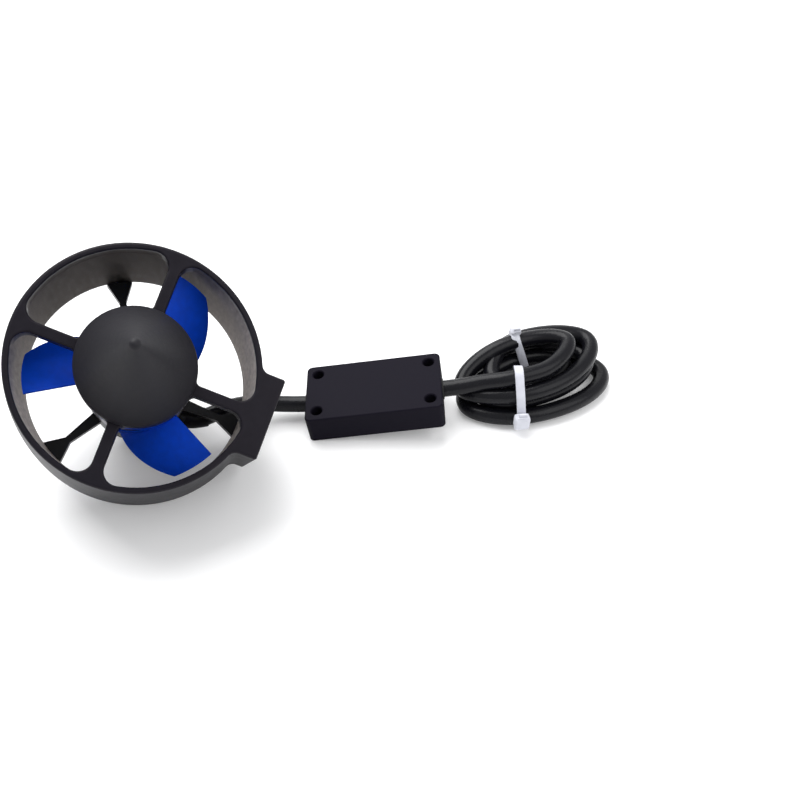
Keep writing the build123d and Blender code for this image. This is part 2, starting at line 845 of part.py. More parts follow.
def esc_case():
    """Case open below, with a screw post in each corner and a hole for each lead."""
    shell = case_blank(case_length, case_width, case_height, case_corner)
    shell = fillet(shell.edges().group_by(Axis.Z)[-1], case_edge)
    shell = shell - case_cavity(0, -1, case_height - case_roof)
    for x, y in hole_places():
        shell = shell - Pos(x, y, 0) * disc(case_hole_radius, -1, case_height + 1)
    mouths = [
        e for e in shell.edges().filter_by(GeomType.CIRCLE)
        if abs(e.radius - case_hole_radius) < 0.01
    ]
    shell = chamfer(mouths, case_hole_chamfer)
    for side in (-1, 1):
        bore = Plane((side * case_length / 2, 0, case_height / 2), z_dir=(side, 0, 0))
        shell = shell - bore * extrude(Circle(grommet_radius + seat_gap), -case_wall * 2, both=True)
    return shell


def esc_cover():
    """Plate that closes the case from below."""
    return case_cavity(face_gap, 0.2, cover_thickness)


def esc_board():
    """Circuit board."""
    plan = RectangleRounded(case_length - 2 * board_end_gap, case_width - 2 * board_side_gap, 1.5)
    board = Pos(0, 0, board_height) * extrude(plan, board_thickness)
    for x, y in hole_places():
        board = board - Pos(x, y, 0) * disc(case_post_radius + 0.4, 0, case_height)
    return board


def fet_places():
    """Centres of the switching transistors on both sides of the board."""
    return [(x, y) for x in [(i - (fet_columns - 1) / 2) * fet_pitch for i in range(fet_columns)]
            for y in (-fet_row, fet_row)]


def esc_transistors():
    """Two rows of transistors on top of the board."""
    length, width, height = fet_size
    low = board_height + board_thickness + face_gap
    return grouped([
        Pos(x, y, low + height / 2) * Box(length, width, height) for x, y in fet_places()
    ])


def esc_capacitors():
    """Two cans lying on the board."""
    low = board_height + board_thickness + face_gap + capacitor_radius
    cans = []
    for side in (-1, 1):
        can = Cylinder(capacitor_radius, capacitor_length)
        can = chamfer(can.edges().filter_by(GeomType.CIRCLE), 0.4)
        cans.append(Pos(side * capacitor_spread, 0, low) * Rot(0, 90, 0) * can)
    return grouped(cans)


def esc_processor():
    """Control chip in the middle of the board."""
    length, width, height = controller_size
    low = board_height + board_thickness + face_gap
    return Pos(0, 0, low + height / 2) * Box(length, width, height)


def grommet(side):
    """Rubber plug round a lead in the end wall of the case."""
    outer = side * (case_length / 2 + grommet_proud)
    plane = Plane((outer, 0, case_height / 2), z_dir=(side, 0, 0))
    plug = plane * extrude(Circle(grommet_radius), -(case_wall + grommet_proud))
    rim = [e for e in plug.edges().filter_by(GeomType.CIRCLE) if abs(e.center().X - outer) < 0.01]
    return chamfer(rim, 0.4)


def case_pose():
    """Where the drawn controller lies on the table, with its motor end where the lead ends."""
    turn = Rot(0, 0, case_heading) * Rot(0, -case_rise, 0) * Rot(case_bank, 0, 0)
    lift = -(turn * case_blank(case_length, case_width, case_height, case_corner)).bounding_box().min.Z
    inlet = (turn * Pos(-case_length / 2 - grommet_proud, 0, case_height / 2)).position
    return Pos(motor_route[-1][0] - inlet.X, motor_route[-1][1] - inlet.Y, lift) * turn


def coil_pillar(bottom_axes, top_axes):
    """Leaning pillar between an oval on the table and an oval at the coil's top."""
    bottom = Pos(*coil_bottom_centre, 0) * Rot(0, 0, coil_bottom_turn) * Ellipse(*bottom_axes)
    top = Pos(*coil_top_centre, coil_height) * Rot(0, 0, coil_top_turn) * Ellipse(*top_axes)
    return loft([bottom, top])


def coil_heap():
    """Outer shape of the coil without its hole."""
    return coil_pillar(coil_bottom_outer, coil_top_outer)


def coil_hole():
    """Space inside the coil."""
    return coil_pillar(coil_bottom_hole, coil_top_hole)


def lead_coil():
    """Outer shape of the coiled lead, let in where the ties pass under it."""
    heap = coil_heap()
    rims = [e for e in heap.edges() if e.bounding_box().size.Z < 0.01]
    heap = chamfer(rims, coil_round)
    heap = heap - coil_hole()
    return heap - tie_strap(near_tie_place, -1) - tie_strap(far_tie_place, 1)


def oval_side(centre, turn, axes, x, side):
    """Y of an oval's near (-1) or far (1) side at an X."""
    c, s = cos(radians(turn)), sin(radians(turn))
    across = x - centre[0]
    square = (s / axes[0]) ** 2 + (c / axes[1]) ** 2
    linear = across * s * c * (1 / axes[0] ** 2 - 1 / axes[1] ** 2)
    rest = across**2 * ((c / axes[0]) ** 2 + (s / axes[1]) ** 2) - 1
    return centre[1] + (side * (linear**2 - square * rest) ** 0.5 - linear) / square


def tie_inside(place, side):
    """Outline inside a tie: the leaning bundle of turns that it holds."""
    low = [oval_side(coil_bottom_centre, coil_bottom_turn, axes, place, side)
           for axes in (coil_bottom_outer, coil_bottom_hole)]
    high = [oval_side(coil_top_centre, coil_top_turn, axes, place, side)
            for axes in (coil_top_outer, coil_top_hole)]
    outline = make_face(Polyline(
        (low[0], tie_thickness), (low[1], tie_thickness),
        (high[1], coil_height), (high[0], coil_height), close=True))
    return fillet(outline.vertices(), tie_round)


def tie_plane(place):
    """Plane across the bundle, upright and square to X."""
    return Plane((place, 0, 0), x_dir=(0, 1, 0), z_dir=(1, 0, 0))


def tie_strap(place, side):
    """Strap of a tie as a closed loop round the bundle."""
    inside = tie_inside(place, side)
    loop = offset(inside, tie_thickness) - inside
    return tie_plane(place) * extrude(loop, tie_width / 2, both=True)


def cable_tie(place, side, head_place):
    """Nylon tie: strap and a ratchet head that rests against the turns."""
    length, depth, height = tie_head
    head = Pos(*head_place, 0) * Box(depth, height, length)
    head = fillet(head.edges().filter_by(Axis.Z), tie_head_round)
    return tie_strap(place, side) + (tie_plane(place) * head - coil_heap())


def lead_wires():
    """Bare wires at the far end of the lead."""
    end = Vector(*tail_route[-1])
    way = (end - Vector(*tail_route[-2])).normalized()
    plane = Plane(end, z_dir=way)
    wires = []
    for i in range(wire_count):
        turn = radians(90 + 360 / wire_count * i)
        wire = Pos(1.8 * cos(turn), 1.8 * sin(turn), 0) * disc(wire_radius, 0, wire_length - 2 * i)
        wires.append(plane * wire)
    return grouped(wires)


thruster_nodes = {
    "duct_body": duct_body,
    "nose_cone": nose_cone,
    "nose_seal": nose_seal,
    "front_bearing": lambda: bearing(front_bearing_low),
    "middle_bearing": lambda: bearing(middle_bearing_low),
    "rear_bearing": lambda: bearing(rear_bearing_low),
    "shaft": shaft,
    "shaft_clip": shaft_clip,
    "front_spacer": front_spacer,
    "rotor_bell": rotor_bell,
    "magnets": magnets,
    "propeller": propeller,
    "propeller_screws": propeller_screws,
    "stator_core": stator_core,
    "stator_windings": stator_windings,
    "phase_wires": phase_wires,
    "rear_frame": rear_frame,
    "frame_screws": frame_screws,
    "tail_cap": tail_cap,
    "tail_seal": tail_seal,
    "tail_screws": tail_screws,
}

case_nodes = {
    "esc_case": esc_case,
    "esc_cover": esc_cover,
    "esc_board": esc_board,
    "esc_transistors": esc_transistors,
    "esc_capacitors": esc_capacitors,
    "esc_processor": esc_processor,
    "motor_side_grommet": lambda: grommet(-1),
    "supply_side_grommet": lambda: grommet(1),
}

loose_nodes = {
    "cable_boot": cable_boot,
    "motor_lead": lambda: lead_tube(motor_route, lead_radius),
    "supply_lead": lambda: lead_tube(supply_route, lead_radius) - coil_heap(),
    "lead_coil": lead_coil,
    "lead_tail": lambda: lead_tube(tail_route, lead_radius) & coil_hole(),
    "lead_wires": lead_wires,
    "near_tie": lambda: cable_tie(near_tie_place, -1, near_head_place),
    "far_tie": lambda: cable_tie(far_tie_place, 1, far_head_place),
}


def main():
    os.makedirs("parts", exist_ok=True)
    groups = [
        (thruster_nodes, thruster_pose()),
        (case_nodes, case_pose()),
        (loose_nodes, Location()),
    ]
    for nodes, pose in groups:
        for name, make in nodes.items():
            export_step(pose * make(), f"parts/{name}.step")
    print("tilt", round(tilt(), 3), "axis foot", thruster_pose().position)


main()
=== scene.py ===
import json
import math

import bmesh
import bpy
from mathutils import Matrix, Vector


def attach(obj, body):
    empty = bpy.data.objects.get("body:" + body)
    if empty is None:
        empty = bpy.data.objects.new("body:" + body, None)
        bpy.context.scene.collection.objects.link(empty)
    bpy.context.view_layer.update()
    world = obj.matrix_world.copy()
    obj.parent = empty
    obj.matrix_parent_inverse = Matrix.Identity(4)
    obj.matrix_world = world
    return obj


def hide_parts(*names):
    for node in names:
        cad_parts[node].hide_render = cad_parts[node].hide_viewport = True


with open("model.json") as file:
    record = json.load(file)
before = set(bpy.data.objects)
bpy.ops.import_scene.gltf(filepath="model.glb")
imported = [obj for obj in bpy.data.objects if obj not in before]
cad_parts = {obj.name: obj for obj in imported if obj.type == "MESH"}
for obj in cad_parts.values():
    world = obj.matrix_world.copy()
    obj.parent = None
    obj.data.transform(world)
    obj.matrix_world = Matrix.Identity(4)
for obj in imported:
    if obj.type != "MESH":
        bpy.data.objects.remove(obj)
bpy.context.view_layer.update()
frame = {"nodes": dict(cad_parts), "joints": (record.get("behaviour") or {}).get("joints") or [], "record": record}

# Sizes are metres and places are in the row frame. MM turns a size in millimetres into metres.
MM = 0.001
scene = bpy.context.scene
nodes = frame["nodes"]
record = frame["record"]
mounts = {mount["name"]: mount for mount in record["mounts"]}

# The thruster's own axes, read from its joint and its pad: Z runs from the rear rim to the intake
AXIS = Vector(frame["joints"][0]["axis"]).normalized()
PAD_WAY = Vector(mounts["pad_face"]["axis"]).normalized()
PAD_REACH = 57.0 * MM
DUCT_LENGTH = 53.5 * MM
RIM_CENTRE = Vector(mounts["pad_face"]["pos_m"]) - PAD_WAY * PAD_REACH - AXIS * DUCT_LENGTH / 2
SIDE_WAY = AXIS.cross(PAD_WAY)
THRUSTER = Matrix.Translation(RIM_CENTRE) @ Matrix((PAD_WAY, SIDE_WAY, AXIS)).transposed().to_4x4()

# The controller's own axes, read from its mounts: X runs to the supply end and Z up through its lid
HOLES_NEAR = Vector(mounts["controller_holes_motor_end"]["pos_m"])
HOLES_FAR = Vector(mounts["controller_holes_supply_end"]["pos_m"])
CASE_X = (HOLES_FAR - HOLES_NEAR).normalized()
CASE_Z = -Vector(mounts["controller_base"]["axis"]).normalized()
CASE_HEIGHT = 13.9 * MM
CASE_BASE = (HOLES_NEAR + HOLES_FAR) / 2 - CASE_Z * CASE_HEIGHT / 2
CASE = Matrix.Translation(CASE_BASE) @ Matrix((CASE_X, CASE_Z.cross(CASE_X), CASE_Z)).transposed().to_4x4()


def make_camera():
    """Camera at the photograph's viewing angle."""
    data = bpy.data.cameras.new("camera")
    data.sensor_width = 36.0
    data.lens = 41.85
    data.shift_x = 0.031
    data.shift_y = 0.096
    data.clip_start = 0.01
    camera = bpy.data.objects.new("camera", data)
    camera.location = (61.29 * MM, -304.03 * MM, 310.84 * MM)
    camera.rotation_euler = (math.radians(43.594), 0.0, math.radians(-0.228))
    scene.collection.objects.link(camera)
    scene.camera = camera


def area_light(name, place, aim, size, watts, colour=(1.0, 1.0, 1.0)):
    """Square soft light at a place, turned to a point."""
    data = bpy.data.lights.new(name, "AREA")
    data.size = size
    data.energy = watts
    data.color = colour
    light = bpy.data.objects.new(name, data)
    light.location = place
    light.rotation_euler = (Vector(aim) - Vector(place)).to_track_quat("-Z", "Y").to_euler()
    scene.collection.objects.link(light)


def make_lights():
    """Large soft lamps above and behind, with a weaker fill from the front right."""
    area_light("key_light", (-0.28, 0.38, 0.95), (0.0, 0.0, 0.03), 1.0, 16.0)
    area_light("fill_light", (0.75, -0.35, 0.7), (0.05, 0.0, 0.02), 0.8, 3.5)
    area_light("back_light", (0.1, 0.9, 0.45), (0.0, 0.0, 0.05), 0.8, 1.2)


def make_world():
    """Plain pale surroundings, white where the camera sees them and through clear surfaces."""
    world = bpy.data.worlds.new("studio")
    scene.world = world
    world.use_nodes = True
    tree = world.node_tree
    tree.nodes.clear()
    path = tree.nodes.new("ShaderNodeLightPath")
    seen = tree.nodes.new("ShaderNodeMath")
    seen.operation = "MAXIMUM"
    through = tree.nodes.new("ShaderNodeMath")
    through.operation = "MAXIMUM"
    tree.links.new(path.outputs["Is Camera Ray"], seen.inputs[0])
    tree.links.new(path.outputs["Is Transmission Ray"], seen.inputs[1])
    tree.links.new(seen.outputs[0], through.inputs[0])
    light = tree.nodes.new("ShaderNodeBackground")
    light.inputs["Color"].default_value = (0.95, 0.97, 1.0, 1.0)
    light.inputs["Strength"].default_value = 0.36
    white = tree.nodes.new("ShaderNodeBackground")
    white.inputs["Color"].default_value = (1.0, 1.0, 1.0, 1.0)
    white.inputs["Strength"].default_value = 1.0
    mix = tree.nodes.new("ShaderNodeMixShader")
    tree.links.new(through.outputs[0], mix.inputs["Fac"])
    tree.links.new(light.outputs[0], mix.inputs[1])
    tree.links.new(white.outputs[0], mix.inputs[2])
    out = tree.nodes.new("ShaderNodeOutputWorld")
    tree.links.new(mix.outputs[0], out.inputs["Surface"])


def new_material(name, colour, roughness, metallic=0.0):
    """Node material with a Principled shader; returns the material, its tree and the shader."""
    material = bpy.data.materials.new(name)
    material.use_nodes = True
    tree = material.node_tree
    shader = tree.nodes["Principled BSDF"]
    shader.inputs["Base Color"].default_value = (*colour, 1.0)
    shader.inputs["Roughness"].default_value = roughness
    shader.inputs["Metallic"].default_value = metallic
    return material, tree, shader


def local_coordinates(tree, pose):
    """Coordinates of the surface in a piece's own axes, in millimetres."""
    source = tree.nodes.new("ShaderNodeTexCoord")
    back = pose.inverted()
    turned = tree.nodes.new("ShaderNodeMapping")
    turned.vector_type = "POINT"
    turned.inputs["Location"].default_value = back.to_translation() / MM
    turned.inputs["Rotation"].default_value = back.to_euler()
    turned.inputs["Scale"].default_value = (1 / MM, 1 / MM, 1 / MM)
    tree.links.new(source.outputs["Object"], turned.inputs["Vector"])
    return turned.outputs["Vector"]


def noise(tree, vector, scale, detail=3.0, stretch=(1.0, 1.0, 1.0), seed=0.0):
    """Noise of a given scale per millimetre, stretched along axes."""
    place = tree.nodes.new("ShaderNodeMapping")
    place.inputs["Scale"].default_value = stretch
    place.inputs["Location"].default_value = (seed, seed * 0.7, seed * 1.3)
    tree.links.new(vector, place.inputs["Vector"])
    texture = tree.nodes.new("ShaderNodeTexNoise")
    texture.inputs["Scale"].default_value = scale
    texture.inputs["Detail"].default_value = detail
    tree.links.new(place.outputs["Vector"], texture.inputs["Vector"])
    return texture.outputs["Fac"]


def ranged(tree, value, low, high):
    """Maps a value from 0..1 to a range."""
    node = tree.nodes.new("ShaderNodeMapRange")
    node.inputs["To Min"].default_value = low
    node.inputs["To Max"].default_value = high
    tree.links.new(value, node.inputs["Value"])
    return node.outputs["Result"]


def bump(tree, shader, height, distance, strength=1.0):
    """Fine relief, with its depth in millimetres."""
    node = tree.nodes.new("ShaderNodeBump")
    node.inputs["Strength"].default_value = strength
    node.inputs["Distance"].default_value = distance * MM
    tree.links.new(height, node.inputs["Height"])
    tree.links.new(node.outputs["Normal"], shader.inputs["Normal"])


def mixed(tree, share, first, second):
    """Mixes two colours by a share."""
    node = tree.nodes.new("ShaderNodeMix")
    node.data_type = "RGBA"
    tree.links.new(share, node.inputs["Factor"])
    for socket, colour in ((node.inputs["A"], first), (node.inputs["B"], second)):
        if isinstance(colour, tuple):
            socket.default_value = (*colour, 1.0)
        else:
            tree.links.new(colour, socket)
    return node.outputs["Result"]


def calculated(tree, operation, first, second=0.0):
    """One step of arithmetic on values or sockets."""
    node = tree.nodes.new("ShaderNodeMath")
    node.operation = operation
    for socket, value in zip(node.inputs, (first, second)):
        if isinstance(value, (int, float)):
            socket.default_value = value
        else:
            tree.links.new(value, socket)
    return node.outputs[0]


def plain_material(
        name, colour, roughness, metallic, scale, relief, pose, spread=0.06, tint=0.12, shine=0.22):
    """Finish with slight mottling of colour and roughness, and a fine relief."""
    material, tree, shader = new_material(name, colour, roughness, metallic)
    if metallic == 0.0:
        shader.inputs["Specular IOR Level"].default_value = shine
    place = local_coordinates(tree, pose)
    coarse = noise(tree, place, scale * 0.12, 4.0)
    dark = tuple(c * (1.0 - tint) for c in colour)
    light = tuple(min(1.0, c * (1.0 + tint)) for c in colour)
    tree.links.new(mixed(tree, coarse, dark, light), shader.inputs["Base Color"])
    tree.links.new(ranged(tree, coarse, roughness - spread, roughness + spread), shader.inputs["Roughness"])
    bump(tree, shader, noise(tree, place, scale, 2.0, seed=7.0), relief)
    return material


# The bore's bare wall, in the thruster's own axes and in millimetres: between two radii and two heights
BORE_RADIUS = 47.4
WALL_INNER = 46.9
WALL_OUTER = 47.75
WALL_REAR = 1.2
WALL_FRONT = 51.5


def duct_material():
    """Black anodising outside, bare turned metal on the bore's wall, with painted shade that darkens the wall
    towards the upper side of the view.
    """
    material, tree, shader = new_material("duct_finish", (0.02, 0.02, 0.023), 0.4)
    shader.inputs["Specular IOR Level"].default_value = 0.22
    shader.inputs["Specular Tint"].default_value = (0.42, 0.38, 0.36, 1.0)
    place = local_coordinates(tree, THRUSTER)
    split = tree.nodes.new("ShaderNodeSeparateXYZ")
    tree.links.new(place, split.inputs[0])
    across = tree.nodes.new("ShaderNodeCombineXYZ")
    tree.links.new(split.outputs["X"], across.inputs["X"])
    tree.links.new(split.outputs["Y"], across.inputs["Y"])
    length = tree.nodes.new("ShaderNodeVectorMath")
    length.operation = "LENGTH"
    tree.links.new(across.outputs[0], length.inputs[0])
    radius = length.outputs["Value"]
    outside_hub = calculated(tree, "GREATER_THAN", radius, WALL_INNER)
    inside_bore = calculated(tree, "LESS_THAN", radius, WALL_OUTER)
    above_rim = calculated(tree, "GREATER_THAN", split.outputs["Z"], WALL_REAR)
    below_lip = calculated(tree, "LESS_THAN", split.outputs["Z"], WALL_FRONT)
    wall = calculated(tree, "MULTIPLY", outside_hub, inside_bore)
    wall = calculated(tree, "MULTIPLY", wall, above_rim)
    wall = calculated(tree, "MULTIPLY", wall, below_lip)
    streaks = ranged(tree, noise(tree, place, 0.5, 6.0, stretch=(1.0, 1.0, 0.25)), -0.6, 1.6)
    turned = noise(tree, place, 0.05, 2.0, stretch=(1.0, 1.0, 90.0), seed=3.0)
    bare = mixed(tree, streaks, (0.19, 0.168, 0.152), (0.52, 0.475, 0.44))
    # Painted shade: the bare wall is blended to a near-black copy of itself towards the bore's upper side as seen
    # from the camera, where the wall lies in shade
    painted_shade_way = THRUSTER.to_3x3().inverted() @ Vector((-0.25, 0.65, 0.72))
    painted_shade_way = Vector((painted_shade_way.x, painted_shade_way.y, 0.0)).normalized()
    toward = tree.nodes.new("ShaderNodeVectorMath")
    toward.operation = "DOT_PRODUCT"
    toward.inputs[1].default_value = painted_shade_way / BORE_RADIUS
    tree.links.new(place, toward.inputs[0])
    painted_shade_share = tree.nodes.new("ShaderNodeMapRange")
    painted_shade_share.inputs["From Min"].default_value = 0.0
    painted_shade_share.inputs["From Max"].default_value = 0.85
    tree.links.new(toward.outputs["Value"], painted_shade_share.inputs["Value"])
    painted_shade_colour = mixed(tree, streaks, (0.006, 0.005, 0.005), (0.06, 0.053, 0.048))
    bare = mixed(tree, painted_shade_share.outputs["Result"], bare, painted_shade_colour)
    mottle = noise(tree, place, 0.25, 4.0, seed=11.0)
    black = mixed(tree, mottle, (0.008, 0.0075, 0.011), (0.013, 0.012, 0.017))
    tree.links.new(mixed(tree, wall, black, bare), shader.inputs["Base Color"])
    black_roughness = ranged(tree, mottle, 0.36, 0.46)
    bare_roughness = ranged(tree, streaks, 0.45, 0.62)
    rough = tree.nodes.new("ShaderNodeMix")
    tree.links.new(wall, rough.inputs["Factor"])
    tree.links.new(black_roughness, rough.inputs["A"])
    tree.links.new(bare_roughness, rough.inputs["B"])
    tree.links.new(rough.outputs["Result"], shader.inputs["Roughness"])
    tree.links.new(calculated(tree, "MULTIPLY", wall, 0.5), shader.inputs["Metallic"])
    grain = noise(tree, place, 4.0, 2.0, seed=5.0)
    relief = tree.nodes.new("ShaderNodeMix")
    tree.links.new(wall, relief.inputs["Factor"])
    tree.links.new(grain, relief.inputs["A"])
    tree.links.new(turned, relief.inputs["B"])
    bump(tree, shader, relief.outputs["Result"], 0.02)
    return material


def make_materials():
    """Every finish by its slot in the record."""
    return {
        "black_anodised": duct_material(),
        "black_anodised_smooth": plain_material(
            "nose_finish", (0.011, 0.0105, 0.014), 0.52, 0.0, 4.0, 0.012, THRUSTER),
        "black_anodised_frame": plain_material(
            "frame_finish", (0.009, 0.009, 0.011), 0.40, 0.0, 4.0, 0.015, THRUSTER),
        "black_housing": plain_material(
            "housing_finish", (0.009, 0.008, 0.010), 0.38, 0.0, 3.0, 0.02, THRUSTER),
        # The bell's steel colour carries a faint blue tint: painted reflection of the blue blades
        "bell_steel": plain_material("bell_finish", (0.17, 0.16, 0.20), 0.34, 0.9, 5.0, 0.01, THRUSTER),
        "blue_propeller": plain_material(
            "propeller_finish", (0.0003, 0.058, 0.58), 0.55, 0.0, 3.0, 0.015, THRUSTER, tint=0.2, shine=0.12),
        "stainless_steel": plain_material("screw_finish", (0.5, 0.5, 0.5), 0.3, 1.0, 6.0, 0.01, THRUSTER),
        "bearing_steel": plain_material("bearing_finish", (0.6, 0.6, 0.6), 0.2, 1.0, 6.0, 0.005, THRUSTER),
        "magnet_nickel": plain_material("magnet_finish", (0.6, 0.58, 0.54), 0.25, 1.0, 4.0, 0.01, THRUSTER),
        "electrical_steel": plain_material("core_finish", (0.3, 0.3, 0.3), 0.45, 0.8, 4.0, 0.02, THRUSTER),
        "enamelled_copper": plain_material("copper_finish", (0.55, 0.2, 0.06), 0.3, 0.9, 4.0, 0.02, THRUSTER),
        "seal_rubber": plain_material("rubber_finish", (0.02, 0.02, 0.02), 0.6, 0.0, 3.0, 0.02, THRUSTER),
        "lead_sheath": plain_material(
            "sheath_finish", (0.005, 0.005, 0.007), 0.27, 0.0, 0.8, 0.06, CASE, spread=0.08, shine=0.2),
        "wire_insulation": plain_material("wire_finish", (0.012, 0.012, 0.013), 0.35, 0.0, 3.0, 0.02, CASE),
        "charcoal_case": plain_material(
            "case_finish", (0.007, 0.006, 0.011), 0.58, 0.0, 4.0, 0.025, CASE, shine=0.05),
        "circuit_board": plain_material("board_finish", (0.02, 0.12, 0.05), 0.4, 0.0, 3.0, 0.02, CASE),
        "black_chip": plain_material("chip_finish", (0.03, 0.03, 0.03), 0.5, 0.0, 4.0, 0.02, CASE),
        "capacitor_can": plain_material("can_finish", (0.5, 0.5, 0.52), 0.3, 0.9, 4.0, 0.01, CASE),
        "white_nylon": plain_material("nylon_finish", (0.60, 0.61, 0.67), 0.35, 0.0, 2.0, 0.02, CASE),
    }


def dress_nodes(materials):
    """Gives each node the finish of its slot."""
    slots = {entry["node"]: entry["material_slot"] for entry in record["subparts"]}
    for name, node in nodes.items():
        node.data.materials.clear()
        node.data.materials.append(materials[slots[name]])


# The moulded boot at the tail's outlet: its places with their radii, inside the model's boot
BOOT_ROUTE = [
    ((-34.2, 17.6, 17.4), 5.4),
    ((-29.5, 16.6, 16.0), 5.4),
    ((-23.5, 16.2, 14.6), 5.0),
    ((-19.0, 16.9, 14.2), 4.6),
    ((-16.5, 17.7, 14.1), 4.5),
]

# Route of the lead from the tail to the controller, as in the model but higher, behind the strut
MOTOR_ROUTE = [
    (-17.4, 17.3, 14.1),
    (-10.0, 21.6, 14.6),
    (-2.0, 28.3, 12.4),
    (8.0, 32.8, 9.2),
    (19.84, 33.9, 7.3),
    (29.72, 33.78, 7.61),
]

# Route of the lead from the controller to the coil, as in the model apart from its last point
SUPPLY_ROUTE = [
    (95.47, 33.21, 17.67),
    (104.37, 33.13, 19.03),
    (114.25, 34.25, 20.9),
    (123.80, 33.30, 22.8),
]

# Each turn of the coil from the top down: centre, reaches of the oval to its right, left, near and far sides,
# lean of the long axis, share cut off its near right, and heights at its near left, near side, right end, far side
# and left end
COIL_TURNS = [
    ((135.9, 50.7), (22.9, 34.6, 13.9, 11.0), 19.8, 0.108, (23.3, 23.9, 26.0, 24.2, 12.3)),
    ((138.9, 52.6), (34.4, 20.8, 19.4, 13.9), 25.8, 0.043, (15.2, 17.0, 19.8, 22.3, 15.5)),
    ((139.0, 50.7), (19.5, 29.5, 9.2, 10.6), 24.0, 0.0, (11.8, 12.0, 12.8, 13.2, 10.0)),
    ((140.0, 51.8), (30.8, 37.6, 15.3, 15.4), 23.2, 0.0, (7.5, 9.8, 12.6, 14.2, 4.2)),
    ((143.5, 49.0), (36.3, 29.4, 18.7, 17.6), 22.7, 0.0, (4.7, 5.3, 4.2, 5.3, 4.2)),
]
COIL_START = -104.0
COIL_LENGTH = 4.66
POINTS_PER_TURN = 20
COIL_MIDDLE_Y = 48.0
PASS_STEPS = 1500
LEAD_DIAMETER = 8.0 * MM

# The free end of the lead inside the coil, ending where the model's does
TAIL_ROUTE = [
    (116.0, 48.4, 4.2),
    (115.3, 43.6, 4.2),
    (119.3, 40.4, 4.2),
    (126.5, 40.6, 4.2),
    (135.0, 41.6, 4.2),
    (142.3, 42.6, 4.2),
    (147.8, 44.3, 4.2),
]


def smooth_step(share):
    """Eases from 0 to 1."""
    share = min(1.0, max(0.0, share))
    return share * share * (3.0 - 2.0 * share)


def turn_height(angle, heights, last_left):
    """Height round one turn, eased between its five places; last_left is where the turn before ended."""
    stops = ((-180.0, last_left), (-135.0, heights[0]), (-90.0, heights[1]), (0.0, heights[2]),
             (90.0, heights[3]), (180.0, heights[4]), (225.0, heights[4]), (270.0, heights[4]))
    for (start, low), (end, high) in zip(stops, stops[1:]):
        if start <= angle <= end:
            return low + (high - low) * smooth_step((angle - start) / (end - start))
    return heights[4]


def coil_point(place):
    """Point of the coil after a number of turns, each turn easing into the next round its left end."""
    turn = int(place)
    angle = COIL_START + 360.0 * (place - turn)
    after_left = angle > 180.0
    here = COIL_TURNS[turn]
    after = COIL_TURNS[min(turn + 1, len(COIL_TURNS) - 1)]
    before = COIL_TURNS[max(turn - 1, 0)]
    ease = smooth_step((place - turn - 0.60) / 0.40)
    centre = [a + (b - a) * ease for a, b in zip(here[0], after[0])]
    right, left, near, far = [a + (b - a) * ease for a, b in zip(here[1], after[1])]
    if math.cos(math.radians(angle)) < 0.0:
        left = here[1][1] if angle > 0.0 else before[1][1]
    if after_left:
        height = turn_height(angle - 360.0, after[4], here[4][4])
    else:
        height = turn_height(angle, here[4], before[4][4])
    lean = math.radians(here[2] + (after[2] - here[2]) * ease)
    cut = here[3] + (after[3] - here[3]) * ease
    cosine = math.cos(math.radians(angle))
    sine = math.sin(math.radians(angle))
    if cosine > 0.0 > sine:
        trim = 1.0 + cut * math.sin(math.radians(2.0 * angle))
        cosine, sine = cosine * trim, sine * trim
    along = cosine * (right if cosine > 0.0 else left)
    across = sine * (far if sine > 0.0 else near)
    x = centre[0] + along * math.cos(lean) - across * math.sin(lean)
    y = centre[1] + along * math.sin(lean) + across * math.cos(lean)
    return (x, y, height)


def coil_points():
    """Points of all the turns of the coil."""
    count = int(POINTS_PER_TURN * COIL_LENGTH)
    return [coil_point(step / POINTS_PER_TURN) for step in range(count + 1)]


def passes(place, near):
    """Places across and up where the turns go through the plane X = place, on one side of the coil."""
    found = []
    fine = SUPPLY_ROUTE[-1:] + [
        coil_point(COIL_LENGTH * step / PASS_STEPS) for step in range(PASS_STEPS + 1)]
    for first, second in zip(fine, fine[1:]):
        crosses = (first[0] - place) * (second[0] - place) <= 0.0 and first[0] != second[0]
        if crosses and (first[1] < COIL_MIDDLE_Y) == near:
            share = (place - first[0]) / (second[0] - first[0])
            found.append([a + (b - a) * share for a, b in zip(first[1:], second[1:])])
    return found


def lead_curve(name, points, material, diameter=LEAD_DIAMETER):
    """Round lead as one smooth curve through given points in millimetres."""
    data = bpy.data.curves.new(name, "CURVE")
    data.dimensions = "3D"
    data.bevel_depth = diameter / 2
    data.bevel_resolution = 6
    data.resolution_u = 8
    data.use_fill_caps = True
    spline = data.splines.new("NURBS")
    spline.points.add(len(points) - 1)
    for target, point in zip(spline.points, points):
        target.co = (*(c * MM for c in point), 1.0)
    spline.order_u = 3
    spline.use_endpoint_u = True
    data.materials.append(material)
    lead = bpy.data.objects.new(name, data)
    scene.collection.objects.link(lead)
    return lead


# Each thin wire at the lead's end: its route, the last part of which is bare
WIRE_ROUTES = [
    [(147.0, 43.3, 5.4), (149.4, 46.2, 5.8), (151.9, 48.4, 5.2), (153.6, 51.6, 4.0), (154.0, 54.0, 3.4)],
    [(146.2, 43.9, 3.3), (148.6, 47.2, 3.0), (150.2, 50.0, 2.6), (150.6, 52.6, 2.4), (149.8, 55.0, 2.4)],
    [(147.6, 42.9, 3.2), (150.6, 45.4, 2.9), (153.8, 46.9, 2.6), (156.6, 48.8, 2.4), (158.6, 51.2, 2.4)],
]
WIRE_DIAMETER = 2.4 * MM
BARE_DIAMETER = 1.3 * MM


